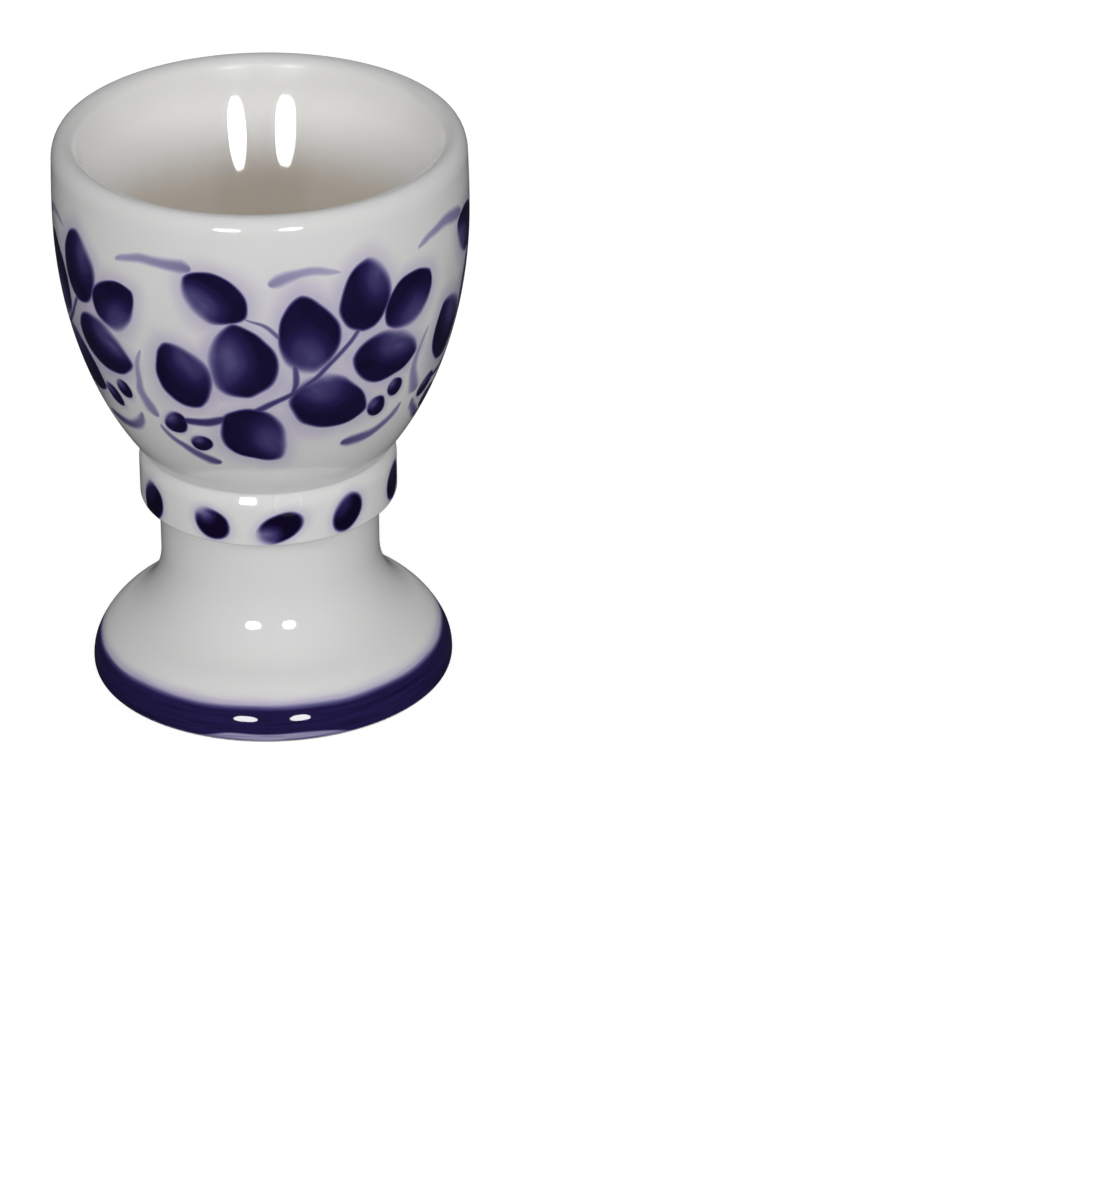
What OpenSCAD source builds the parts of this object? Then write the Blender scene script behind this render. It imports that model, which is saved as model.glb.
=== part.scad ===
// Footed egg cup in glazed ceramic: an egg-shaped bowl on a hollow flared foot,
// with a rounded collar ring round the waist where the two are joined with slip.
// The axis of the cup is Z, and the foot stands on Z = 0.

/* [Cup] */
// Height of the whole cup, from the table to the rim
cup_h = 74; // [64:0.5:90]

/* [Bowl] */
// Outer diameter of the bowl at its widest line
bowl_d = 52; // [46:0.5:62]
// Height from the widest line of the bowl up to the rim
belly_drop = 9.8; // [6:0.2:16]
// How far the wall leans in between the widest line and the rim
rim_lean = 0.15; // [0.05:0.05:1]
// Thickness of the full round lip
lip_t = 3.2; // [2.4:0.1:4.2]
// Height over which the lip rounds off on its outer side
lip_fall = 2.8; // [1.6:0.1:4]
// Slope of the well's wall where it leaves the lip, in degrees from plumb
mouth_slope = 13; // [6:0.5:18]
// How far down the well that slope holds, as a share of the well's depth
mouth_hold_share = 0.32; // [0.25:0.01:0.45]
// How round the well's floor is, as a share of the well's radius at the lip
floor_round_share = 0.52; // [0.4:0.01:0.65]
// Thickness of the floor of the well, above the joint
floor_t = 8.3; // [4:0.1:12]
// Outer diameter of the bowl where it sits on the collar
crease_d = 31.8; // [29:0.1:32.4]

/* [Waist] */
// Height of the waist, from the top of the neck's ledge to the bowl
waist_h = 7.9; // [6:0.1:12]
// Outer diameter of the collar ring
collar_d = 32.8; // [32.6:0.1:40]
// Height of the long soft round at the collar's upper edge
collar_top_h = 1.9; // [0.8:0.1:2.4]
// Radius of the small round at the collar's lower edge
collar_edge_r = 0.5; // [0.3:0.1:1]

/* [Joint] */
// Length of the tenon under the bowl
tenon_h = 8; // [4:0.1:12]
// Bevel round the end of the tenon
tenon_ease = 0.8; // [0.2:0.1:1.5]
// Thickness of the slip between the joined faces
slip_t = 0.5; // [0.3:0.1:0.8]
// Width of the ledge on the neck that carries the collar
ledge_w = 1.2; // [0.9:0.1:1.6]
// Depth of the fine creases that the slip leaves above and below the collar
seam_in = 0.4; // [0.2:0.05:0.6]

/* [Foot] */
// Diameter of the foot at its widest line
foot_d = 46.4; // [42:0.2:54]
// Height from the table to the top of the neck's ledge
stem_h = 23.9; // [20:0.1:32]
// Diameter of the neck
neck_d = 28; // [26:0.1:30]
// Height of the foot's widest line above the table
toe_h = 0.8; // [0.4:0.1:2.4]
// How far the foot's edge draws in below its widest line
toe_in = 0.3; // [0.2:0.05:1.2]
// Radius of the foot's tight lower round, from the widest line up
toe_r = 5.6; // [4.2:0.1:7]
// How far up that round goes, in degrees above the widest line
toe_a = 25; // [18:1:32]
// Radius of the foot's wide shoulder above it
shoulder_r = 10.6; // [8:0.1:13]
// Radius of the hollow curve between the shoulder and the neck
flare_r = 10.5; // [9:0.1:12]
// Thickness of the foot's wall
foot_wall_t = 3.2; // [2.4:0.1:4]
// Round at the inner edge of the foot ring
ring_round = 0.7; // [0.3:0.1:1.2]

/* [Hidden] */

glaze_white = [0.93, 0.92, 0.90];
slip_buff = [0.84, 0.80, 0.73];

// Counts of straight steps along the curves of the outlines
curve_steps = 28;
edge_steps = 8;
$fn = 128;

// Radii of the bowl and of its well
bowl_r = bowl_d / 2;
crease_r = crease_d / 2;
lip_r = lip_t / 2;

// Radii of the waist, from the outside in
collar_r = collar_d / 2;
neck_r = neck_d / 2;
spigot_r = neck_r - ledge_w;
collar_bore_r = spigot_r + slip_t;
neck_bore_r = neck_r - foot_wall_t;
tenon_r = neck_bore_r - slip_t;

// Heights, from the table up
crease_z = stem_h + waist_h;
collar_low_z = stem_h + slip_t;
collar_top_z = crease_z - slip_t;
tenon_z = crease_z - tenon_h;
floor_z = crease_z + floor_t;
belly_z = cup_h - belly_drop;
lip_low_z = cup_h - lip_fall;

// Middle of the round of the lip's inner side, as [r, z], and the angle round it at
// which the well's wall leaves it
lip_centre = [bowl_r - rim_lean - lip_r, cup_h - lip_r];
lip_end_a = 180 - mouth_slope;

// The bowl's side is an ellipse round the middle of the widest line. This is
// where it meets the collar, as an angle below that line, and its half height.
crease_a = acos(crease_r / bowl_r);
curve_h = (belly_z - crease_z) / sin(crease_a);

// Middles of the rounds of the toe and of the shoulder, as [r, z]. The shoulder and
// the flare meet at this slope, which makes the flare run out straight up the neck,
// at this height.
foot_r = foot_d / 2;
toe_centre = [foot_r - toe_r, toe_h];
shoulder_centre = toe_centre - (shoulder_r - toe_r) * [cos(toe_a), sin(toe_a)];
slope_a = acos((neck_r + flare_r - shoulder_centre[0]) / (shoulder_r + flare_r));
flare_z = shoulder_centre[1] + (shoulder_r + flare_r) * sin(slope_a);

// Points [r, z] of an arc round a centre, without its first point. Two radii
// that differ make it an arc of an ellipse.
function arc(centre, radii, from_a, to_a, steps) =
    [for (i = [1:steps])
        let (a = from_a + (to_a - from_a) * i / steps)
        [centre[0] + radii[0] * cos(a), centre[1] + radii[1] * sin(a)]];

// Points [r, z] up the outer wall, which starts plumb at the widest line and bows
// in by rim_lean on its way up to the lip
function outer_wall() =
    [for (i = [1:edge_steps])
        [bowl_r - rim_lean * pow(i / edge_steps, 2),
         belly_z + (lip_low_z - belly_z) * i / edge_steps]];

// Point [r, z] at the share t along a smooth curve that leaves p0 towards p1 and
// arrives at p3 from p2
function curve_point(p0, p1, p2, p3, t) =
    pow(1 - t, 3) * p0 + 3 * pow(1 - t, 2) * t * p1 + 3 * (1 - t) * t * t * p2 + pow(t, 3) * p3;

// Points [r, z] down the well, from the lip to the middle of its floor
function well_wall() =
    let (
        top = lip_centre + lip_r * [cos(lip_end_a), sin(lip_end_a)],
        hold = mouth_hold_share * (top[1] - floor_z),
        below = top - hold * [sin(mouth_slope), cos(mouth_slope)],
        beside = [floor_round_share * top[0], floor_z]
    )
    [for (i = [1:curve_steps]) curve_point(top, below, beside, [0, floor_z], i / curve_steps)];

function bowl_outline() = concat(
    [[0, tenon_z], [tenon_r - tenon_ease, tenon_z], [tenon_r, tenon_z + tenon_ease]],
    [[tenon_r, crease_z], [crease_r, crease_z]],
    arc([0, belly_z], [bowl_r, curve_h], -crease_a, 0, curve_steps),
    outer_wall(),
    arc([lip_centre[0], lip_low_z], [lip_r, lip_fall], 0, 90, edge_steps),
    arc(lip_centre, [lip_r, lip_r], 90, lip_end_a, edge_steps),
    well_wall()
);

// Bowl with its round well, full round lip and the tenon that goes down the neck
module bowl() {
    color(glaze_white)
        rotate_extrude()
            polygon(bowl_outline());
}

// Rounded ring that slides over the spigot and hides the joint
module waist_collar() {
    color(glaze_white)
        rotate_extrude()
            polygon(concat(
                [[collar_bore_r, collar_low_z], [collar_r - collar_edge_r, collar_low_z]],
                arc([collar_r - collar_edge_r, collar_low_z + collar_edge_r],
                    [collar_edge_r, collar_edge_r], -90, 0, edge_steps),
                [[collar_r, collar_top_z - collar_top_h]],
                arc([crease_r, collar_top_z - collar_top_h], [collar_r - crease_r, collar_top_h],
                    0, 90, edge_steps),
                [[collar_bore_r, collar_top_z]]
            ));
}

// Outside of the foot, from the table up to the top of the spigot
function foot_outside() = concat(
    [[foot_r - toe_in, 0]],
    arc([foot_r - toe_in, toe_h], [toe_in, toe_h], -90, 0, edge_steps),
    arc(toe_centre, [toe_r, toe_r], 0, toe_a, edge_steps),
    arc(shoulder_centre, [shoulder_r, shoulder_r], toe_a, slope_a, curve_steps),
    arc([neck_r + flare_r, flare_z], [flare_r, flare_r], 180 + slope_a, 180, curve_steps),
    [[neck_r, stem_h], [spigot_r, stem_h], [spigot_r, collar_top_z]]
);

// Inside of the foot, at an even wall from the spigot's top back to the table
function foot_inside() = concat(
    [[neck_bore_r, collar_top_z], [neck_bore_r, flare_z]],
    arc([neck_r + flare_r, flare_z], [flare_r + foot_wall_t, flare_r + foot_wall_t],
        180, 180 + slope_a, curve_steps),
    arc(shoulder_centre, [shoulder_r - foot_wall_t, shoulder_r - foot_wall_t],
        slope_a, toe_a, curve_steps),
    arc(toe_centre, [toe_r - foot_wall_t, toe_r - foot_wall_t], toe_a, 0, edge_steps),
    [[foot_r - foot_wall_t, ring_round]],
    arc([foot_r - foot_wall_t + ring_round, ring_round], [ring_round, ring_round],
        180, 270, edge_steps)
);

// Hollow foot with its bare ring, round toe, flared shoulder, neck, ledge and spigot
module pedestal_foot() {
    color(glaze_white)
        rotate_extrude()
            polygon(concat(foot_outside(), foot_inside()));
}

// Fired slip that fills the joint: round the tenon, under the bowl's seat,
// round the spigot and on the neck's ledge
module joint_slip() {
    color(slip_buff)
        rotate_extrude()
            polygon([
                [tenon_r, tenon_z + tenon_ease],
                [neck_bore_r, tenon_z + tenon_ease],
                [neck_bore_r, collar_top_z],
                [spigot_r, collar_top_z],
                [spigot_r, stem_h],
                [neck_r - seam_in, stem_h],
                [neck_r - seam_in, collar_low_z],
                [collar_bore_r, collar_low_z],
                [collar_bore_r, collar_top_z],
                [crease_r - seam_in, collar_top_z],
                [crease_r - seam_in, crease_z],
                [tenon_r, crease_z]
            ]);
}

bowl();
waist_collar();
pedestal_foot();
joint_slip();
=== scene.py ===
import math

import bpy
from mathutils import Matrix, Vector


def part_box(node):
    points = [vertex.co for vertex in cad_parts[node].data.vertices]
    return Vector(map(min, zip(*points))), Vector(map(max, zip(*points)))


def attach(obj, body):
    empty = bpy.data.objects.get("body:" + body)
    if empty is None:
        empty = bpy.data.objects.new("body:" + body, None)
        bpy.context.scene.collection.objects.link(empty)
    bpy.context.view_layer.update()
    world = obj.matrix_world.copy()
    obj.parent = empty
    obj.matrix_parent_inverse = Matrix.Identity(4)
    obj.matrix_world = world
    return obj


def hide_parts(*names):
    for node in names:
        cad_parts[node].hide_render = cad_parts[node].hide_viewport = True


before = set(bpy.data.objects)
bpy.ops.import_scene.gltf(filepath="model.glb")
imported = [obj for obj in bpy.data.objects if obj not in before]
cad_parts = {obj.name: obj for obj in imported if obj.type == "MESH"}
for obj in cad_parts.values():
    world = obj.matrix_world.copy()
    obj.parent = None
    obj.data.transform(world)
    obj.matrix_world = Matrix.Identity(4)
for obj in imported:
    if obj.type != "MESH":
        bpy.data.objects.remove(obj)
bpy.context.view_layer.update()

# All lengths are in metres. The cup stands on z = 0 with its axis on z, and -y faces the camera.
MM = 0.001

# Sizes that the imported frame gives
RIM_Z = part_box("bowl")[1].z
BOWL_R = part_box("bowl")[1].x
TENON_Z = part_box("bowl")[0].z
COLLAR_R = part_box("waist_collar")[1].x
COLLAR_LOW_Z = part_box("waist_collar")[0].z
COLLAR_TOP_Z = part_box("waist_collar")[1].z
FOOT_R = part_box("pedestal_foot")[1].x
LEDGE_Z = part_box("joint_slip")[0].z

# Sizes of the bowl's outline
BELLY_DROP = 9.8 * MM
RIM_LEAN = 0.15 * MM
LIP_R = 1.6 * MM
LIP_FALL = 2.8 * MM
CREASE_R = 15.9 * MM
FLOOR_T = 8.3 * MM
MOUTH_SLOPE = math.radians(13)
MOUTH_HOLD_SHARE = 0.32
FLOOR_ROUND_SHARE = 0.52
TENON_EASE = 0.8 * MM

# Sizes of the waist and the foot
SLIP_T = 0.5 * MM
SEAM_IN = 0.4 * MM
NECK_R = 14.0 * MM
FOOT_WALL = 3.2 * MM
LEDGE_W = 1.2 * MM
COLLAR_EDGE_R = 0.5 * MM
COLLAR_TOP_H = 1.9 * MM
TOE_H = 0.8 * MM
TOE_IN = 0.3 * MM
TOE_R = 5.6 * MM
TOE_A = 25
SHOULDER_R = 10.6 * MM
FLARE_R = 10.5 * MM
RING_ROUND = 0.7 * MM

# Radii and heights that follow from them
CREASE_Z = COLLAR_TOP_Z + SLIP_T
BELLY_Z = RIM_Z - BELLY_DROP
LIP_LOW_Z = RIM_Z - LIP_FALL
LIP_CENTRE = (BOWL_R - RIM_LEAN - LIP_R, RIM_Z - LIP_R)
WELL_FLOOR_Z = CREASE_Z + FLOOR_T
STEM_Z = COLLAR_LOW_Z - SLIP_T
SPIGOT_R = NECK_R - LEDGE_W
COLLAR_BORE_R = SPIGOT_R + SLIP_T
NECK_BORE_R = NECK_R - FOOT_WALL
TENON_R = NECK_BORE_R - SLIP_T

# Glaze pools in the crease above the collar and fills it to this radius and height. The bowl's side
# starts to run down into it from this far above.
VALLEY_R = 15.8 * MM
VALLEY_Z = COLLAR_TOP_Z + SLIP_T / 2
VALLEY_EASE = 0.5 * MM

# How finely the pieces are turned
TURN_STEPS = 192
CURVE_STEPS = 40
EDGE_STEPS = 10
WELD = 0.001 * MM
SMOOTH_ANGLE = math.radians(50)

# Glaze also pools under the collar, in a hollow round of this radius
POOL_R = SLIP_T - WELD


def arc(centre, radii, start, end, steps):
    """Points (r, z) of an arc, or of an arc of an ellipse, between two angles in degrees."""
    angles = [math.radians(start + (end - start) * i / steps) for i in range(steps + 1)]
    return [(centre[0] + radii[0] * math.cos(a), centre[1] + radii[1] * math.sin(a)) for a in angles]


def curve(p0, p1, p2, p3, steps):
    """Points (r, z) of a smooth curve that leaves p0 towards p1 and arrives at p3 from p2."""
    points = []
    for i in range(steps + 1):
        t = i / steps
        weights = ((1 - t) ** 3, 3 * (1 - t) ** 2 * t, 3 * (1 - t) * t * t, t ** 3)
        points.append(tuple(sum(w * p[k] for w, p in zip(weights, (p0, p1, p2, p3))) for k in (0, 1)))
    return points


def lathe(name, outline):
    """A turned piece: one vertex is extruded along the outline and spun round the cup's axis."""
    bpy.ops.object.select_all(action="DESELECT")
    bpy.ops.mesh.primitive_plane_add(size=MM, location=(0, 0, 0))
    piece = bpy.context.object
    piece.name = name
    bpy.ops.object.mode_set(mode="EDIT")
    bpy.ops.mesh.select_mode(type="VERT")
    bpy.ops.mesh.merge(type="CENTER")
    bpy.ops.transform.translate(value=(outline[0][0], 0, outline[0][1]))
    for (r0, z0), (r1, z1) in zip(outline, outline[1:]):
        if math.hypot(r1 - r0, z1 - z0) > WELD:
            bpy.ops.mesh.extrude_region_move(TRANSFORM_OT_translate={"value": (r1 - r0, 0, z1 - z0)})
    bpy.ops.mesh.select_all(action="SELECT")
    bpy.ops.mesh.spin(steps=TURN_STEPS, angle=math.tau, center=(0, 0, 0), axis=(0, 0, 1))
    bpy.ops.mesh.select_all(action="SELECT")
    bpy.ops.mesh.remove_doubles(threshold=WELD)
    bpy.ops.mesh.normals_make_consistent(inside=False)
    bpy.ops.object.mode_set(mode="OBJECT")
    bpy.ops.object.shade_smooth_by_angle(angle=SMOOTH_ANGLE)
    return piece


def belly_side():
    """Bowl's side, from the crease up to its widest line, as an arc of an ellipse."""
    crease_a = math.degrees(math.acos(CREASE_R / BOWL_R))
    half_height = (BELLY_Z - CREASE_Z) / math.sin(math.radians(crease_a))
    return arc((0, BELLY_Z), (BOWL_R, half_height), -crease_a, 0, 2 * CURVE_STEPS)


def crease_blend(side):
    """The side, with the few points near the crease replaced by a soft run down into the valley."""
    kept = [p for p in side if p[1] > VALLEY_Z + VALLEY_EASE]
    (r0, z0), (r1, z1) = kept[0], kept[1]
    reach = (z0 - VALLEY_Z) / 2
    lean = (r1 - r0) / (z1 - z0)
    return curve((VALLEY_R, VALLEY_Z), (VALLEY_R, VALLEY_Z + reach / 2),
                 (r0 - lean * reach, z0 - reach), (r0, z0), EDGE_STEPS)[:-1] + kept


def rim_wall():
    """Outer wall above the widest line, which bows in on its way up to the lip."""
    shares = [i / EDGE_STEPS for i in range(1, EDGE_STEPS)]
    return [(BOWL_R - RIM_LEAN * s ** 2, BELLY_Z + (LIP_LOW_Z - BELLY_Z) * s) for s in shares]


def well_wall():
    """The well, from the lip down to the middle of its floor."""
    top = (LIP_CENTRE[0] - LIP_R * math.cos(MOUTH_SLOPE), LIP_CENTRE[1] + LIP_R * math.sin(MOUTH_SLOPE))
    hold = MOUTH_HOLD_SHARE * (top[1] - WELL_FLOOR_Z)
    below = (top[0] - hold * math.sin(MOUTH_SLOPE), top[1] - hold * math.cos(MOUTH_SLOPE))
    beside = (FLOOR_ROUND_SHARE * top[0], WELL_FLOOR_Z)
    return curve(top, below, beside, (0, WELL_FLOOR_Z), 2 * CURVE_STEPS)


def bowl_outline():
    """The bowl from the end of its tenon, up its side and over the lip, down to the well's floor."""
    seat = [(0, TENON_Z), (TENON_R - TENON_EASE, TENON_Z), (TENON_R, TENON_Z + TENON_EASE),
            (TENON_R, CREASE_Z), (CREASE_R - SEAM_IN, CREASE_Z), (CREASE_R - SEAM_IN, VALLEY_Z)]
    lip = arc((LIP_CENTRE[0], LIP_LOW_Z), (LIP_R, LIP_FALL), 0, 90, 2 * EDGE_STEPS)
    lip += arc(LIP_CENTRE, (LIP_R, LIP_R), 90, 180 - math.degrees(MOUTH_SLOPE), EDGE_STEPS)
    return seat + crease_blend(belly_side()) + rim_wall() + lip + well_wall()


def collar_outline():
    """The collar, with a small round below and a long soft one that runs into the valley above."""
    shoulder = (COLLAR_R, COLLAR_TOP_Z - COLLAR_TOP_H)
    bore = [(COLLAR_BORE_R, COLLAR_LOW_Z), (COLLAR_R - COLLAR_EDGE_R, COLLAR_LOW_Z)]
    low_edge = arc((COLLAR_R - COLLAR_EDGE_R, COLLAR_LOW_Z + COLLAR_EDGE_R),
                   (COLLAR_EDGE_R, COLLAR_EDGE_R), -90, 0, EDGE_STEPS)
    top = curve(shoulder, (COLLAR_R, shoulder[1] + COLLAR_TOP_H / 2),
                (VALLEY_R, VALLEY_Z - SLIP_T), (VALLEY_R, VALLEY_Z), 2 * EDGE_STEPS)
    back = [(CREASE_R - SEAM_IN, VALLEY_Z), (CREASE_R - SEAM_IN, COLLAR_TOP_Z),
            (COLLAR_BORE_R, COLLAR_TOP_Z), (COLLAR_BORE_R, COLLAR_LOW_Z)]
    return bore + low_edge + top + back


def foot_outline():
    """The foot's toe, shoulder, flare and neck, the spigot, and the hollow at an even wall."""
    toe = (FOOT_R - TOE_R, TOE_H)
    toe_turn = math.radians(TOE_A)
    shoulder = (toe[0] - (SHOULDER_R - TOE_R) * math.cos(toe_turn),
                toe[1] - (SHOULDER_R - TOE_R) * math.sin(toe_turn))
    turn = math.acos((NECK_R + FLARE_R - shoulder[0]) / (SHOULDER_R + FLARE_R))
    flare = (NECK_R + FLARE_R, shoulder[1] + (SHOULDER_R + FLARE_R) * math.sin(turn))
    slope = math.degrees(turn)

    def run(wall):
        """The foot's three joined arcs, at this depth inside its outer face."""
        return (arc(toe, (TOE_R - wall, TOE_R - wall), 0, TOE_A, EDGE_STEPS)
                + arc(shoulder, (SHOULDER_R - wall, SHOULDER_R - wall), TOE_A, slope, CURVE_STEPS)
                + arc(flare, (FLARE_R + wall, FLARE_R + wall), 180 + slope, 180, CURVE_STEPS))

    low_edge = arc((FOOT_R - TOE_IN, TOE_H), (TOE_IN, TOE_H), -90, 0, EDGE_STEPS)
    pool_edge = arc((NECK_R + POOL_R, STEM_Z), (POOL_R, POOL_R), 180, 90, EDGE_STEPS)
    top = [(NECK_R - SEAM_IN, STEM_Z + POOL_R), (NECK_R - SEAM_IN, STEM_Z), (SPIGOT_R, STEM_Z),
           (SPIGOT_R, COLLAR_TOP_Z), (NECK_BORE_R, COLLAR_TOP_Z)]
    ring_edge = arc((FOOT_R - FOOT_WALL + RING_ROUND, RING_ROUND), (RING_ROUND, RING_ROUND),
                    180, 270, EDGE_STEPS)
    return low_edge + run(0) + pool_edge + top + run(FOOT_WALL)[::-1] + ring_edge + low_edge[:1]


class Wire:
    """A value that runs through a node tree. Arithmetic on wires adds Math nodes."""

    def __init__(self, tree, socket):
        self.tree = tree
        self.socket = socket

    def then(self, operation, *others):
        """This wire through one Math node, with the others as its further inputs."""
        node = self.tree.nodes.new("ShaderNodeMath")
        node.operation = operation
        for slot, value in enumerate((self, *others)):
            feed(self.tree, node.inputs[slot], value)
        return Wire(self.tree, node.outputs[0])

    def __add__(self, other):
        return self.then("ADD", other)

    def __sub__(self, other):
        return self.then("SUBTRACT", other)

    def __mul__(self, other):
        return self.then("MULTIPLY", other)

    def __truediv__(self, other):
        return self.then("DIVIDE", other)

    def larger(self, other):
        return self.then("MAXIMUM", other)

    def ramp(self, start, end, low=0.0, high=1.0):
        """A smooth step from low to high while this wire goes from start to end."""
        node = self.tree.nodes.new("ShaderNodeMapRange")
        node.interpolation_type = "SMOOTHSTEP"
        for label, value in (("Value", self), ("From Min", start), ("From Max", end),
                             ("To Min", low), ("To Max", high)):
            feed(self.tree, node.inputs[label], value)
        return Wire(self.tree, node.outputs["Result"])


def feed(tree, socket, value):
    """Sets an input to a plain value, or links a wire to it."""
    if isinstance(value, Wire):
        tree.links.new(value.socket, socket)
    else:
        socket.default_value = value


def add(tree, kind, output, settings=None, **inputs):
    """Adds a node, feeds its inputs by their labels and gives back one output as a wire."""
    node = tree.nodes.new(kind)
    for name, value in (settings or {}).items():
        setattr(node, name, value)
    for label, value in inputs.items():
        feed(tree, node.inputs[label.replace("_", " ")], value)
    return Wire(tree, node.outputs[output])


def new_group(name, inputs, outputs):
    """A node group with named sockets, its inputs as wires and its output node."""
    tree = bpy.data.node_groups.new(name, "ShaderNodeTree")
    for label, (kind, value) in inputs.items():
        tree.interface.new_socket(label, in_out="INPUT", socket_type=kind).default_value = value
    for label, kind in outputs.items():
        tree.interface.new_socket(label, in_out="OUTPUT", socket_type=kind)
    entry = tree.nodes.new("NodeGroupInput")
    leave = tree.nodes.new("NodeGroupOutput")
    return tree, {label: Wire(tree, entry.outputs[label]) for label in inputs}, leave


def use_group(tree, group, output, **inputs):
    """Places a node group in a material and gives back one of its outputs."""
    return add(tree, "ShaderNodeGroup", output, {"node_tree": group}, **inputs)


def mixed(tree, share, first, second, blend="MIX"):
    """The first colour, changed to the second one by this share, or blended with it in another way."""
    node = add(tree, "ShaderNodeMix", 2, {"data_type": "RGBA", "blend_type": blend}).socket.node
    for socket, value in (("Factor", share), (6, first), (7, second)):
        feed(tree, node.inputs[socket], value)
    return Wire(tree, node.outputs[2])


NUMBER = "NodeSocketFloat"
COLOUR = "NodeSocketColor"


def make_round_group():
    """Where a point lies on the cup: its turn round the axis from -y, its height and its radius in mm."""
    tree, _, leave = new_group("round_the_cup", {}, {"Turn": NUMBER, "Height": NUMBER, "Radius": NUMBER})
    place = add(tree, "ShaderNodeTexCoord", "Object")
    parts = tree.nodes.new("ShaderNodeSeparateXYZ")
    feed(tree, parts.inputs[0], place)
    x, y, z = (Wire(tree, parts.outputs[k]) for k in "XYZ")
    feed(tree, leave.inputs["Turn"], x.then("ARCTAN2", y * -1.0))
    feed(tree, leave.inputs["Height"], z / MM)
    feed(tree, leave.inputs["Radius"], (x * x + y * y).then("SQRT") / MM)
    return tree


# How a dab fades, in shares of its half size: its watery patch, from rim to core, and its halo
CLOUD_FADE = (1.15, 0.1)
HALO_FADE = (1.75, 0.95)
# How much the watery patch softens the dab's edge, and how much wider that edge is on its outer side
CLOUD_SOFTENS = 0.14
EDGE_OUTSIDE = 1.3
# How much the brush's streaks change the tone, and the least share of its width that a taper leaves
STREAK_TONE = 0.12
LEAST_WIDTH = 0.3


def make_dab_group():
    """One press of a loaded brush: an oval or a pointed leaf of deep cobalt, with one watery patch."""
    tree, wire, leave = new_group("brush_dab", {
        "Across": (NUMBER, 0), "Up": (NUMBER, 0), "Centre Across": (NUMBER, 0), "Centre Up": (NUMBER, 0),
        "Half Length": (NUMBER, 4), "Half Width": (NUMBER, 3), "Turn": (NUMBER, 0), "Point": (NUMBER, 0),
        "Taper": (NUMBER, 0), "Cloud Along": (NUMBER, 0), "Cloud Across": (NUMBER, 0),
        "Cloud": (NUMBER, 0.4), "Halo": (NUMBER, 0.11), "Load": (NUMBER, 0.95), "Soft": (NUMBER, 0.07),
    }, {"Paint": NUMBER})
    along0 = wire["Across"] - wire["Centre Across"]
    across0 = wire["Up"] - wire["Centre Up"]
    cosine, sine = wire["Turn"].then("COSINE"), wire["Turn"].then("SINE")
    along = (along0 * cosine + across0 * sine) / wire["Half Length"]
    narrow = (along * wire["Taper"]) * -1.0 + 1.0
    across = (across0 * cosine - along0 * sine) / (wire["Half Width"] * narrow.larger(LEAST_WIDTH))
    reach = (along * along + across.then("ABSOLUTE").then("POWER", wire["Point"] * -1.0 + 2.0)).then("SQRT")
    cloud_a, cloud_b = along - wire["Cloud Along"], across - wire["Cloud Across"]
    cloud = (cloud_a * cloud_a + cloud_b * cloud_b).then("SQRT").ramp(*CLOUD_FADE)
    spot = add(tree, "ShaderNodeCombineXYZ", "Vector", X=along * 0.9, Y=across * 1.8,
               Z=wire["Centre Across"] * 0.7 + wire["Centre Up"])
    streak = add(tree, "ShaderNodeTexNoise", "Fac", Vector=spot, Scale=1.1, Detail=1.0, Roughness=0.4)
    softness = cloud * CLOUD_SOFTENS + wire["Soft"]
    shape = reach.ramp(softness * EDGE_OUTSIDE + 1.0, softness * -1.0 + 1.0)
    watery = cloud * wire["Cloud"] * streak.ramp(0.25, 0.7, 0.7, 1.1)
    tone = (streak - 0.5) * STREAK_TONE - watery + wire["Load"]
    halo = reach.ramp(*HALO_FADE) * wire["Halo"]
    feed(tree, leave.inputs["Paint"], (shape * tone).larger(halo))
    return tree


# How much thinner and paler a stroke is at its tail than at its head
TAIL_THINNER = 0.6
TAIL_PALER = 0.4
HEAD_TONE = 1.1
# Edge of a stroke: its soft rim and its full core as shares of its half width, and its least rim in mm
STROKE_RIM = 1.5
STROKE_CORE = 0.3
LEAST_RIM = 0.05


def make_scroll_group():
    """One curl of a thin brush: an arc, pressed on at its head and lifted off in a thin tail."""
    tree, wire, leave = new_group("brush_scroll", {
        "Across": (NUMBER, 0), "Up": (NUMBER, 0), "Centre Across": (NUMBER, 0), "Centre Up": (NUMBER, 0),
        "Radius": (NUMBER, 6), "From": (NUMBER, 0), "Sweep": (NUMBER, 1), "Half Width": (NUMBER, 0.5),
        "Tone": (NUMBER, 0.4), "Head": (NUMBER, 0),
    }, {"Paint": NUMBER})
    across, up = wire["Across"] - wire["Centre Across"], wire["Up"] - wire["Centre Up"]
    reach = (across * across + up * up).then("SQRT")
    turned = (up.then("ARCTAN2", across) - wire["From"]).then("FLOORED_MODULO", math.tau)
    share = turned / wire["Sweep"]
    swell = (share * (share * -1.0 + 1.0) * 8.0).larger(0.0).then("MINIMUM", 1.0).then("POWER", 0.5)
    drawn = (share - wire["Head"]).then("ABSOLUTE")
    width = wire["Half Width"] * swell * (drawn * -TAIL_THINNER + 1.0)
    off = (reach - wire["Radius"]).then("ABSOLUTE")
    line = off.ramp(width * STROKE_RIM + LEAST_RIM, width * STROKE_CORE)
    tone = wire["Tone"] * (drawn * -TAIL_PALER + HEAD_TONE)
    feed(tree, leave.inputs["Paint"], line * tone * swell.ramp(0.0, 0.6))
    return tree


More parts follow.
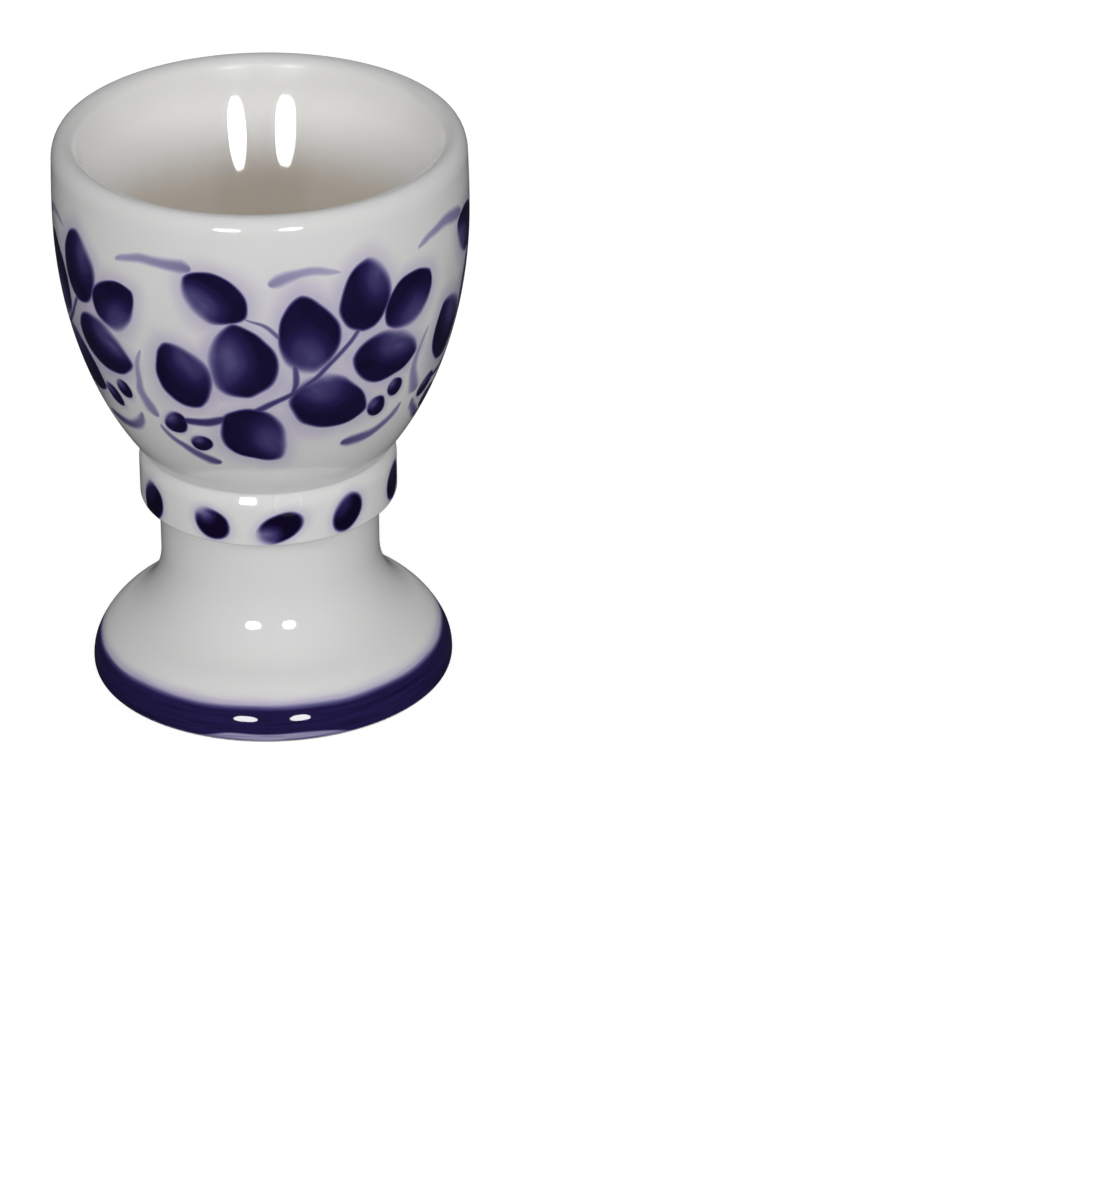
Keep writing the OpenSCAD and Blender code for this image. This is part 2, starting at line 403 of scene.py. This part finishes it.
# What a layer of cobalt lets through of the white below it, by its share of full strength
COBALT_STOPS = (
    (0.00, (1.000, 1.000, 1.000)),
    (0.12, (0.760, 0.715, 0.860)),
    (0.26, (0.490, 0.455, 0.690)),
    (0.45, (0.190, 0.175, 0.380)),
    (0.62, (0.080, 0.066, 0.225)),
    (0.80, (0.028, 0.018, 0.110)),
    (1.00, (0.006, 0.003, 0.024)),
)


def make_cobalt_group():
    """The colour of a glazed white body under a share of cobalt."""
    tree, wire, leave = new_group("cobalt_on_white", {
        "Paint": (NUMBER, 0), "Body": (COLOUR, (0.8, 0.8, 0.8, 1)),
    }, {"Color": COLOUR})
    ramp = tree.nodes.new("ShaderNodeValToRGB")
    while len(ramp.color_ramp.elements) < len(COBALT_STOPS):
        ramp.color_ramp.elements.new(0.5)
    for element, (share, colour) in zip(ramp.color_ramp.elements, COBALT_STOPS):
        element.position = share
        element.color = (*colour, 1)
    feed(tree, ramp.inputs["Fac"], wire["Paint"])
    layer = Wire(tree, ramp.outputs["Color"])
    feed(tree, leave.inputs["Color"], mixed(tree, 1.0, wire["Body"], layer, "MULTIPLY"))
    return tree


def make_glaze_group():
    """Slow waves and fine pits in a fired glaze, as a height for a Bump node."""
    tree, wire, leave = new_group("glaze_skin", {"Wave": (NUMBER, 1), "Pit": (NUMBER, 1)}, {"Height": NUMBER})
    place = add(tree, "ShaderNodeTexCoord", "Object")
    wave = add(tree, "ShaderNodeTexNoise", "Fac", Vector=place, Scale=110.0, Detail=1.0)
    pit = add(tree, "ShaderNodeTexNoise", "Fac", Vector=place, Scale=2600.0, Detail=2.0)
    feed(tree, leave.inputs["Height"], wave * wire["Wave"] + pit.ramp(0.68, 0.8) * wire["Pit"] * -1.0)
    return tree


ROUND = make_round_group()
DAB = make_dab_group()
SCROLL = make_scroll_group()
COBALT = make_cobalt_group()
GLAZE = make_glaze_group()

# Roughness of the glaze, bright all over and a little matt in the crease and inside the lip, and its
# index of refraction, which sets how strongly it mirrors the lamps
GLOSS = 0.035
MATT_GLAZE = 0.26
GLAZE_IOR = 1.65

# Colours of the glaze outside, in the well's upper part, which is lighter there as painted light, in its
# lower part, a warm glaze that is darker there as painted shade, and on its floor, and of the two bare clays.
# Then the clays' roughness, and how dark their grain is beside the plain colour.
WHITE_GLAZE = (0.80, 0.80, 0.795, 1)
WELL_PAINTED_LIGHT = (0.92, 0.915, 0.90, 1)
WELL_WARM_SHADE = (0.765, 0.695, 0.605, 1)
WELL_FLOOR = (0.86, 0.82, 0.755, 1)
BARE_CLAY = (0.72, 0.69, 0.64, 1)
SLIP_CLAY = (0.66, 0.61, 0.54, 1)
BARE_MATT = 0.75
SLIP_MATT = 0.85
GRAIN_SHADE = 0.8


def new_material(name, roughness):
    """A material with one Principled shader, its node tree and that shader."""
    material = bpy.data.materials.new(name)
    material.use_nodes = True
    tree = material.node_tree
    shader = tree.nodes["Principled BSDF"]
    shader.inputs["Roughness"].default_value = roughness
    shader.inputs["IOR"].default_value = GLAZE_IOR
    return material, tree, shader


def glaze_bump(tree, shader, wave=1.0, pit=0.4):
    """Gives a shader the glaze's slow waves and fine pits as a bump."""
    height = use_group(tree, GLAZE, "Height", Wave=wave, Pit=pit)
    normal = add(tree, "ShaderNodeBump", "Normal", Height=height, Strength=0.25, Distance=0.02 * MM)
    feed(tree, shader.inputs["Normal"], normal)


def layered(paints):
    """The largest of several wires at each point, such as strokes of paint that cross."""
    total = paints[0]
    for paint in paints[1:]:
        total = total.larger(paint)
    return total


# The painted sprig stands four times round the bowl. Its parts are given in mm from its middle,
# to the right and up, and its turns in degrees.
SPRIGS = 4
SPRIG_TURN = 8
SPRIG_HEIGHT = 54.0
SPRIG_RADIUS = 25.0
# Leaves: place, half length, half width, turn, taper, place of the cloudy patch along and across,
# and how watery that patch is
LEAVES = (
    (-14.0, -2.2, 4.9, 3.5, 120, 0.16, 0.3, -0.6, 0.36),
    (-6.4, 0.8, 5.3, 3.9, 104, 0.18, 0.1, 0.5, 0.42),
    (1.8, 4.4, 5.3, 3.9, 100, 0.18, -0.6, 0.2, 0.36),
    (9.4, 8.4, 4.9, 3.6, 86, 0.16, 0.5, -0.5, 0.34),
    (-4.8, -10.8, 5.0, 3.7, -48, 0.18, 0.4, 0.4, 0.34),
    (4.6, -6.4, 5.3, 3.8, -26, 0.18, -0.5, 0.5, 0.40),
    (12.6, -1.4, 5.0, 3.6, -10, 0.18, 0.3, 0.6, 0.42),
    (16.4, 5.8, 4.3, 3.1, 36, 0.16, -0.2, -0.6, 0.34),
    (-9.8, 9.6, 4.4, 3.1, 148, 0.16, 0.3, 0.6, 0.42),
)
# Berries: place, radius
BERRIES = ((-14.8, -9.9, 1.6), (-11.5, -12.8, 1.5), (11.2, -9.0, 1.5), (14.2, -7.0, 1.3))
# Strokes: place of the centre, radius, start, sweep, half width, tone, and 1 where the head is the
# stroke's far end
SCROLLS = (
    (-19.7, 26.1, 36.0, -84, 58, 0.62, 0.66, 0),
    (-9.0, -1.5, 9.0, -20, 94, 0.50, 0.55, 0),
    (-16.6, -1.9, 15.4, 74, 42, 0.95, 0.36, 0),
    (-13.0, -3.2, 7.6, 152, 84, 0.75, 0.34, 1),
    (2.4, 2.2, 10.6, 70, 50, 0.85, 0.30, 1),
    (8.2, -4.6, 9.2, 256, 70, 0.90, 0.50, 0),
    (-7.5, -4.6, 11.4, 212, 54, 0.75, 0.52, 1),
)


# The thin wash round each sprig: half its width and height in mm, and where it fades in shares of them.
# Then how pointed the leaves are.
WASH_HALF_WIDTH = 19.5
WASH_HALF_HEIGHT = 14.5
WASH_FADE = (1.15, 0.45)
LEAF_POINT = 0.42


def sprig_paint(tree, turned, radius, up, wander):
    """Cobalt paint of the sprigs, with leaves, berries and soft strokes, and the reach of their wash."""
    pitch = math.tau / SPRIGS

    def here(middle):
        """Place over the bowl, in mm from the middle of the sprig that the stroke round here belongs to."""
        border = middle / SPRIG_RADIUS - pitch / 2
        share = (turned - border).then("FLOORED_MODULO", pitch) + border
        return {"Across": share * radius + wander, "Up": up}

    strokes = []
    for u, v, length, width, turn, taper, cloud_a, cloud_b, cloud in LEAVES:
        strokes.append(use_group(tree, DAB, "Paint", **here(u), Centre_Across=u, Centre_Up=v,
                                 Half_Length=length, Half_Width=width, Turn=math.radians(turn),
                                 Point=LEAF_POINT, Taper=taper, Cloud_Along=cloud_a,
                                 Cloud_Across=cloud_b, Cloud=cloud))
    for u, v, size in BERRIES:
        strokes.append(use_group(tree, DAB, "Paint", **here(u), Centre_Across=u, Centre_Up=v,
                                 Half_Length=size, Half_Width=size, Cloud_Along=-0.5, Cloud_Across=0.5,
                                 Soft=0.14))
    for u, v, bend, start, sweep, width, tone, head in SCROLLS:
        middle = u + bend * math.cos(math.radians(start + sweep / 2))
        strokes.append(use_group(tree, SCROLL, "Paint", **here(middle), Centre_Across=u, Centre_Up=v,
                                 Radius=bend, From=math.radians(start), Sweep=math.radians(sweep),
                                 Half_Width=width, Tone=tone, Head=head))
    aside, above = here(0.0)["Across"] / WASH_HALF_WIDTH, up / WASH_HALF_HEIGHT
    return layered(strokes), (aside * aside + above * above).then("SQRT").ramp(*WASH_FADE)


def hand_wander(tree, amount):
    """Two slow noises that carry a stroke off its plan by a share of a millimetre, as a hand does."""
    place = add(tree, "ShaderNodeTexCoord", "Object")
    noise = tree.nodes.new("ShaderNodeTexNoise")
    feed(tree, noise.inputs["Vector"], place)
    noise.inputs["Scale"].default_value = 170.0
    noise.inputs["Detail"].default_value = 1.0
    parts = tree.nodes.new("ShaderNodeSeparateColor")
    tree.links.new(noise.outputs["Color"], parts.inputs[0])
    return [(Wire(tree, parts.outputs[k]) - 0.5) * amount for k in ("Red", "Green")]


# How far the hand strays from the plan of the strokes, in mm
BOWL_WANDER = 1.4
COLLAR_WANDER = 0.9

# Where the bowl's glaze turns matt, in mm: above the crease, in from the lip's middle, and up from the rim
CREASE_MATT = (3.6, 1.2)
LIP_MATT_IN = (0.0, -1.1)
LIP_MATT_UP = (-3.0, -2.0)


def painted_bowl_glaze():
    """White glaze with four cobalt sprigs round the bowl, less glossy in the crease and inside the lip."""
    material, tree, shader = new_material("painted_bowl_glaze", GLOSS)
    turned = use_group(tree, ROUND, "Turn") - math.radians(SPRIG_TURN)
    height = use_group(tree, ROUND, "Height")
    radius = use_group(tree, ROUND, "Radius")
    wander_u, wander_v = hand_wander(tree, BOWL_WANDER)
    strokes, wash_reach = sprig_paint(tree, turned, radius, height - SPRIG_HEIGHT + wander_v, wander_u)
    place = add(tree, "ShaderNodeTexCoord", "Object")
    mist = add(tree, "ShaderNodeTexNoise", "Fac", Vector=place, Scale=160.0, Detail=2.0)
    wash = wash_reach * mist.ramp(0.3, 0.7, 0.02, 0.07)
    paint = strokes + wash * (strokes * -1.0 + 1.0)
    feed(tree, shader.inputs["Base Color"],
         use_group(tree, COBALT, "Color", Paint=paint, Body=WHITE_GLAZE))
    crease = (height - CREASE_Z / MM).ramp(*CREASE_MATT)
    lip_inside = (radius - LIP_CENTRE[0] / MM).ramp(*LIP_MATT_IN) * (height - RIM_Z / MM).ramp(*LIP_MATT_UP)
    feed(tree, shader.inputs["Roughness"], crease.larger(lip_inside).ramp(0.0, 1.0, GLOSS, MATT_GLAZE))
    glaze_bump(tree, shader, wave=0.6)
    return material


# Where the well's glaze changes, in mm below the rim: from matt to bright, to its lighter tone of painted
# light, to its warm tone that is darker as painted shade, with a border that wanders by this much, and to the
# tone of its floor
WELL_MATT = (4.0, 1.2)
WELL_PAINTED_LIGHT_RANGE = (1.5, 7.0)
WELL_WARM_SHADE_RANGE = (8.5, 16.0)
WELL_WANDER = 3.0
WELL_PALER = (20.0, 30.0)


def well_glaze():
    """Glaze in the well: a little matt at its upper edge, then lighter as painted light, then warmer and
    darker, partly a warm glaze and partly painted shade, and pale on the floor.
    """
    material, tree, shader = new_material("well_glaze", GLOSS)
    depth = use_group(tree, ROUND, "Height") * -1.0 + RIM_Z / MM
    place = add(tree, "ShaderNodeTexCoord", "Object")
    cloud = add(tree, "ShaderNodeTexNoise", "Fac", Vector=place, Scale=70.0, Detail=3.0)
    feed(tree, shader.inputs["Roughness"], depth.ramp(*WELL_MATT, GLOSS, MATT_GLAZE))
    # The upper part is lightened as painted light, and the warm lower part is darkened as painted shade.
    upper = mixed(tree, depth.ramp(*WELL_PAINTED_LIGHT_RANGE), WHITE_GLAZE, WELL_PAINTED_LIGHT)
    lower = mixed(tree, depth.ramp(*WELL_PALER), WELL_WARM_SHADE, WELL_FLOOR)
    warm_glaze_and_shade = (depth - (cloud - 0.5) * WELL_WANDER).ramp(*WELL_WARM_SHADE_RANGE)
    feed(tree, shader.inputs["Base Color"], mixed(tree, warm_glaze_and_shade, upper, lower))
    glaze_bump(tree, shader)
    return material


# Dots round the collar: turn in degrees, height and half sizes in mm, tilt in degrees,
# place of the cloudy patch along and across, and how watery that patch is
DOTS = (
    (-26.4, 27.1, 2.35, 1.85, -24, -0.8, 0.5, 0.58),
    (4.6, 27.1, 2.8, 1.8, 24, -0.85, -0.2, 0.62),
    (36.8, 27.3, 2.6, 2.0, 50, 0.2, 0.8, 0.30),
    (74.0, 27.2, 2.6, 2.1, 30, 0.3, 0.6, 0.25),
    (105.8, 27.5, 2.6, 2.2, -12, -0.6, 0.4, 0.45),
    (137.5, 27.1, 2.7, 2.0, 22, 0.7, 0.2, 0.40),
    (169.3, 27.6, 2.5, 2.1, 8, -0.3, -0.7, 0.50),
    (-158.9, 27.3, 2.7, 1.9, 40, -0.6, 0.4, 0.42),
    (-127.2, 27.6, 2.6, 2.1, -18, 0.6, -0.3, 0.50),
    (-95.5, 27.2, 2.7, 2.0, 15, -0.5, 0.6, 0.40),
    (-63.7, 26.6, 2.6, 2.2, 65, 0.4, 0.7, 0.20),
)

# A thumb mark in the glaze near the collar's top, which breaks up its gloss, and whose colour is a little
# darker as painted shade that offsets its brighter matt sheen: its turn in degrees, its height and half width
# in mm, where it fades in shares of that width, its roughness and its colour
THUMB_TURN = 8.5
THUMB_HEIGHT = 30.4
THUMB_WIDTH = 1.9
THUMB_FADE = (1.3, 0.5)
THUMB_MATT = 0.8
THUMB_PAINTED_SHADE = (0.75, 0.75, 0.745, 1)

# Where the collar's glaze turns matt, in mm up to the valley
VALLEY_MATT = (-0.8, -0.1)


def dotted_collar_glaze():
    """White glaze with a row of cobalt dots, one press of the brush each."""
    material, tree, shader = new_material("dotted_collar_glaze", GLOSS)
    turn = use_group(tree, ROUND, "Turn")
    height = use_group(tree, ROUND, "Height")
    wander_u, wander_v = hand_wander(tree, COLLAR_WANDER)
    strokes = []
    for angle, level, length, width, tilt, cloud_a, cloud_b, cloud in DOTS:
        offset = turn - math.radians(angle) + math.pi
        across = (offset.then("FLOORED_MODULO", math.tau) - math.pi) * (COLLAR_R / MM) + wander_u
        strokes.append(use_group(tree, DAB, "Paint", Across=across, Up=height + wander_v, Centre_Up=level,
                                 Half_Length=length, Half_Width=width, Turn=math.radians(tilt),
                                 Cloud_Along=cloud_a, Cloud_Across=cloud_b, Cloud=cloud, Halo=0.09,
                                 Load=1.03, Soft=0.15))
    aside = (turn - math.radians(THUMB_TURN)) * (COLLAR_R / MM) / THUMB_WIDTH
    above = (height - THUMB_HEIGHT) / THUMB_WIDTH
    thumb = (aside * aside + above * above).then("SQRT").ramp(*THUMB_FADE)
    # Inside the mark the white glaze is darkened as painted shade, which offsets the sheen of its matt glaze.
    body = mixed(tree, thumb, WHITE_GLAZE, THUMB_PAINTED_SHADE)
    feed(tree, shader.inputs["Base Color"],
         use_group(tree, COBALT, "Color", Paint=layered(strokes), Body=body))
    crease = (height - VALLEY_Z / MM).ramp(*VALLEY_MATT, GLOSS, MATT_GLAZE)
    feed(tree, shader.inputs["Roughness"], thumb.ramp(0.0, 1.0, GLOSS, THUMB_MATT).larger(crease))
    glaze_bump(tree, shader)
    return material


# The cobalt band round the foot, heights in mm. Its lower edge dips away from the front, where the
# cosine of the turn falls through DIP_FROM, and its upper edge sways and rises a little to the right.
# The soft edges are given as heights from the edge's own height.
BAND_LOW = 1.3
LOW_SOFT = (-0.16, 0.16)
BAND_DIP = 1.0
DIP_FROM = (0.985, 0.9)
BAND_TOP = 4.3
BAND_RISE = 0.2
BAND_SWAY = 0.8
TOP_SOFT = (0.7, -0.6)
WASH_SOFT = (1.9, -0.2)
WASH_TONE = 0.26
BAND_TONE = 0.86


def banded_foot_glaze():
    """White glaze with a broad cobalt band laid on a turning foot, soft along its upper edge."""
    material, tree, shader = new_material("banded_foot_glaze", GLOSS)
    turn = use_group(tree, ROUND, "Turn")
    height = use_group(tree, ROUND, "Height")
    slow = add(tree, "ShaderNodeCombineXYZ", "Vector", X=turn.then("COSINE"), Y=turn.then("SINE"))
    sway = add(tree, "ShaderNodeTexNoise", "Fac", Vector=slow, Scale=1.6, Detail=1.0)
    spot = add(tree, "ShaderNodeCombineXYZ", "Vector", X=turn.then("COSINE") * 2.0, Y=turn.then("SINE") * 2.0,
               Z=height * 1.6)
    streak = add(tree, "ShaderNodeTexNoise", "Fac", Vector=spot, Scale=1.3, Detail=4.0)
    top = (sway - 0.5) * BAND_SWAY + turn.then("SINE") * BAND_RISE + BAND_TOP
    level = height - top + (streak - 0.5) * 0.5
    band = level.ramp(*TOP_SOFT)
    wash = level.ramp(*WASH_SOFT).then("POWER", 2.0) * WASH_TONE
    dip = turn.then("COSINE").ramp(*DIP_FROM) * BAND_DIP
    low_edge = ((height - BAND_LOW) + dip + (streak - 0.5) * 0.3).ramp(*LOW_SOFT)
    tone = (streak - 0.5) * 0.3 + BAND_TONE
    # Below the band's lower edge, a thin cobalt smear that also darkens the toe as painted shade.
    smear_and_painted_shade = streak.ramp(0.3, 0.7) * 0.26 + 0.25
    paint = (band * tone).larger(wash) * low_edge + (low_edge * -1.0 + 1.0) * smear_and_painted_shade
    feed(tree, shader.inputs["Base Color"],
         use_group(tree, COBALT, "Color", Paint=paint, Body=WHITE_GLAZE))
    glaze_bump(tree, shader)
    return material


def bare_ceramic(name, colour, roughness):
    """Unglazed fired clay: matt, with fine grain and faint specks."""
    material, tree, shader = new_material(name, roughness)
    place = add(tree, "ShaderNodeTexCoord", "Object")
    grain = add(tree, "ShaderNodeTexNoise", "Fac", Vector=place, Scale=2400.0, Detail=3.0)
    cloud = add(tree, "ShaderNodeTexNoise", "Fac", Vector=place, Scale=240.0, Detail=2.0)
    darker = tuple(GRAIN_SHADE * part for part in colour[:3]) + (1,)
    feed(tree, shader.inputs["Base Color"], mixed(tree, (grain + cloud) * 0.5, colour, darker))
    normal = add(tree, "ShaderNodeBump", "Normal", Height=grain, Strength=0.3, Distance=0.05 * MM)
    feed(tree, shader.inputs["Normal"], normal)
    return material


def dress(piece, materials, node, choose=None):
    """Gives a piece its materials, a face's own one by its place, hangs it on the root body and hides the CAD
    node that it stands in for.
    """
    piece.data.materials.clear()
    for material in materials:
        piece.data.materials.append(material)
    if choose:
        for face in piece.data.polygons:
            face.material_index = choose(face.center)
    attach(piece, "root")
    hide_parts(node)


# How far down the lip's inner side the well's faces start, as a share of the lip's radius, how much of
# the bowl's wall is outside them, and how far below the well's floor they end
WELL_START_SHARE = 0.7
WALL_OUTSIDE = 2 * MM
BELOW_FLOOR = MM
# Height up to which the foot ring is bare
BARE_HEIGHT = 0.25 * MM


def in_well(centre):
    """1 for a face of the well, and 0 for one of the outside, the lip or the tenon."""
    radius = math.hypot(centre.x, centre.y)
    outer_r = BOWL_R * math.sqrt(max(0.0, 1 - ((BELLY_Z - centre.z) / (BELLY_Z - TENON_Z)) ** 2))
    inside_lip = radius < LIP_CENTRE[0] - LIP_R * WELL_START_SHARE
    return int(inside_lip and centre.z > WELL_FLOOR_Z - BELOW_FLOOR and radius < outer_r - WALL_OUTSIDE)


def on_ring(centre):
    """1 for a face of the bare foot ring, and 0 for the glaze."""
    return int(centre.z < BARE_HEIGHT)


def make_cup():
    """The bowl, the collar and the foot in their glazes, and the slip in its own solid."""
    bowl = lathe("egg_bowl", bowl_outline())
    dress(bowl, [painted_bowl_glaze(), well_glaze()], "bowl", in_well)
    collar = lathe("collar_ring", collar_outline())
    dress(collar, [dotted_collar_glaze()], "waist_collar")
    foot = lathe("flared_foot", foot_outline())
    dress(foot, [banded_foot_glaze(), bare_ceramic("bare_foot_ring", BARE_CLAY, BARE_MATT)],
          "pedestal_foot", on_ring)
    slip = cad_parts["joint_slip"]
    slip.data.materials.clear()
    slip.data.materials.append(bare_ceramic("fired_slip_clay", SLIP_CLAY, SLIP_MATT))


# The floor and the world are plain white to the camera, and only a little light comes from them. In
# gloss they are white too, but the dark room stands before them. The floor's glow starts lower,
# because the lamps also light it near the cup, and rises to full white far off, so that no edge shows
# at the horizon.
FLOOR_SIZE = 8.0
FLOOR_NEAR = 0.5
FLOOR_FAR = 2.0
FLOOR_GLOW = 0.85
FLOOR_COLOUR = (0.32, 0.32, 0.32, 1)
WORLD_FILL = 0.14


def seen_directly(tree):
    """1 on camera, glossy and transmission rays, and 0 on the rays that light things."""
    path = tree.nodes.new("ShaderNodeLightPath")
    labels = ("Is Camera Ray", "Is Glossy Ray", "Is Transmission Ray")
    return layered([Wire(tree, path.outputs[label]) for label in labels])


def empty_material(name):
    """A material whose node tree is empty, and that tree."""
    material = bpy.data.materials.new(name)
    material.use_nodes = True
    material.node_tree.nodes.clear()
    return material, material.node_tree


def glowing_material(name, strength):
    """A material that only gives off white light."""
    material, tree = empty_material(name)
    glow = add(tree, "ShaderNodeEmission", "Emission", Strength=strength)
    feed(tree, tree.nodes.new("ShaderNodeOutputMaterial").inputs["Surface"], glow)
    return material


def make_floor():
    """The white floor, which takes the cup's shadow."""
    bpy.ops.object.select_all(action="DESELECT")
    bpy.ops.mesh.primitive_plane_add(size=FLOOR_SIZE, location=(0, 0, 0))
    floor = bpy.context.object
    floor.name = "floor"
    material, tree = empty_material("pale_floor")
    matt = add(tree, "ShaderNodeBsdfDiffuse", "BSDF", Color=FLOOR_COLOUR)
    place = add(tree, "ShaderNodeTexCoord", "Object")
    away = add(tree, "ShaderNodeVectorMath", "Value", {"operation": "LENGTH"}, Vector=place)
    glow = add(tree, "ShaderNodeEmission", "Emission",
               Strength=seen_directly(tree) * away.ramp(FLOOR_NEAR, FLOOR_FAR, FLOOR_GLOW, 1.0))
    both = tree.nodes.new("ShaderNodeAddShader")
    feed(tree, both.inputs[0], matt)
    feed(tree, both.inputs[1], glow)
    tree.links.new(both.outputs[0], tree.nodes.new("ShaderNodeOutputMaterial").inputs["Surface"])
    floor.data.materials.append(material)


def make_world():
    """A white world that lights things only a little."""
    world = bpy.data.worlds.new("plain_studio")
    world.use_nodes = True
    tree = world.node_tree
    back = tree.nodes["Background"]
    back.inputs["Color"].default_value = (1, 1, 1, 1)
    feed(tree, back.inputs["Strength"], seen_directly(tree).ramp(0.0, 1.0, WORLD_FILL, 1.0))
    bpy.context.scene.world = world


# The glaze mirrors a dark room and a dark table top, as it does in the photograph. Both are one closed
# drum, which only gloss sees: it is far from the cup and outside the lamps.
ROOM_RADIUS = 1.7
ROOM_HEIGHT = 2.4
ROOM_LIFT = 0.02 * MM
ROOM_TONE = 0.015


def make_dark_room():
    """The drum that the glaze mirrors."""
    bpy.ops.object.select_all(action="DESELECT")
    bpy.ops.mesh.primitive_cylinder_add(vertices=64, radius=ROOM_RADIUS, depth=ROOM_HEIGHT,
                                        location=(0, 0, ROOM_HEIGHT / 2 + ROOM_LIFT))
    room = bpy.context.object
    room.name = "dark_room"
    room.visible_camera = False
    room.visible_diffuse = False
    room.visible_transmission = False
    room.visible_shadow = False
    room.data.materials.append(glowing_material("dark_cloth", ROOM_TONE))


# Two softboxes with round corners stand in front, low and close to the camera's line, and show in the
# glaze. Wide dim fills stand at the sides, behind and overhead, and gloss doesn't show them. Each is
# given by its turn from the camera and its height over the table in degrees, its width and height in
# degrees, and its brightness as seen from the cup.
CUP_MIDDLE = Vector((0, 0, RIM_Z / 2))
LAMP_DISTANCE = 1.2
LAMP_CORNER = 5.2
SOFTBOXES = (
    ("softbox_left", -18.4, 15.1, 14.2, 11.0, 14.0),
    ("softbox_right", 15.2, 15.5, 12.2, 11.6, 14.0),
)
FILLS = (
    ("fill_left", -62.0, 10.0, 40.0, 40.0, 1.4),
    ("fill_right", 64.0, 10.0, 40.0, 40.0, 1.9),
    ("fill_front", 0.0, 38.0, 34.0, 26.0, 2.35),
    ("fill_back", 180.0, 16.0, 60.0, 30.0, 2.7),
    ("fill_top", 0.0, 82.0, 40.0, 40.0, 0.22),
)


def across_degrees(degrees):
    """Length at the lamps' distance that spans this many degrees as seen from the cup."""
    return 2 * LAMP_DISTANCE * math.tan(math.radians(degrees / 2))


def place_lamp(lamp, turn, lift):
    """Stands a lamp at its turn and height, facing the middle of the cup."""
    away = Vector((math.sin(math.radians(turn)) * math.cos(math.radians(lift)),
                   -math.cos(math.radians(turn)) * math.cos(math.radians(lift)),
                   math.sin(math.radians(lift))))
    lamp.location = CUP_MIDDLE + away * LAMP_DISTANCE
    lamp.rotation_euler = away.to_track_quat("Z", "Y").to_euler()


def make_softbox(name, turn, lift, wide, high, bright):
    """A lit panel with round corners, modelled flat at the origin and then stood in its place."""
    bpy.ops.object.select_all(action="DESELECT")
    bpy.ops.mesh.primitive_plane_add(size=1, location=(0, 0, 0))
    lamp = bpy.context.object
    lamp.name = name
    bpy.ops.object.mode_set(mode="EDIT")
    bpy.ops.mesh.select_all(action="SELECT")
    bpy.ops.transform.resize(value=(across_degrees(wide), across_degrees(high), 1))
    bpy.ops.mesh.bevel(offset=across_degrees(LAMP_CORNER), segments=8, affect="VERTICES")
    bpy.ops.object.mode_set(mode="OBJECT")
    place_lamp(lamp, turn, lift)
    lamp.data.materials.append(glowing_material(name, bright))


def make_fill(name, turn, lift, wide, high, bright):
    """A wide dim lamp that gloss doesn't show."""
    data = bpy.data.lights.new(name, "AREA")
    data.shape = "RECTANGLE"
    data.size = across_degrees(wide)
    data.size_y = across_degrees(high)
    data.energy = bright * math.pi * data.size * data.size_y
    lamp = bpy.data.objects.new(name, data)
    lamp.visible_glossy = False
    bpy.context.scene.collection.objects.link(lamp)
    place_lamp(lamp, turn, lift)


def make_lamps():
    """All softboxes and fills."""
    for softbox in SOFTBOXES:
        make_softbox(*softbox)
    for fill in FILLS:
        make_fill(*fill)


# The camera stands at the photograph's angle, and the cup's middle falls on its pixel there
PHOTO_SIZE = (1114, 1199)
PHOTO_CUP_PIXEL = (266.5, 398.6)
CAMERA_DISTANCE = 0.75
CAMERA_LIFT = math.radians(27.04)
CAMERA_ROLL = math.radians(-1.571)
FOCAL_PIXELS = 5904.0
SENSOR = 36.0
NEAR_END = 0.01


def make_camera():
    """The photograph's camera, turned aside so that the cup falls on its pixel without a lens shift."""
    data = bpy.data.cameras.new("photo_camera")
    data.sensor_width = SENSOR
    data.lens = FOCAL_PIXELS * SENSOR / max(PHOTO_SIZE)
    data.clip_start = NEAR_END
    camera = bpy.data.objects.new("photo_camera", data)
    bpy.context.scene.collection.objects.link(camera)
    back = Vector((0, -math.cos(CAMERA_LIFT), math.sin(CAMERA_LIFT)))
    look = back.to_track_quat("Z", "Y").to_matrix() @ Matrix.Rotation(CAMERA_ROLL, 3, "Z")
    pixel = Vector(((PHOTO_CUP_PIXEL[0] - PHOTO_SIZE[0] / 2) / FOCAL_PIXELS,
                    (PHOTO_SIZE[1] / 2 - PHOTO_CUP_PIXEL[1]) / FOCAL_PIXELS, -1))
    aside = Vector((0, 0, -1)).rotation_difference(pixel).to_matrix()
    camera.matrix_world = Matrix.Translation(CUP_MIDDLE + back * CAMERA_DISTANCE) @ (
        look @ aside.transposed()).to_4x4()
    bpy.context.scene.camera = camera


make_cup()
make_floor()
make_world()
make_dark_room()
make_lamps()
make_camera()
bpy.context.scene.view_settings.view_transform = "Standard"
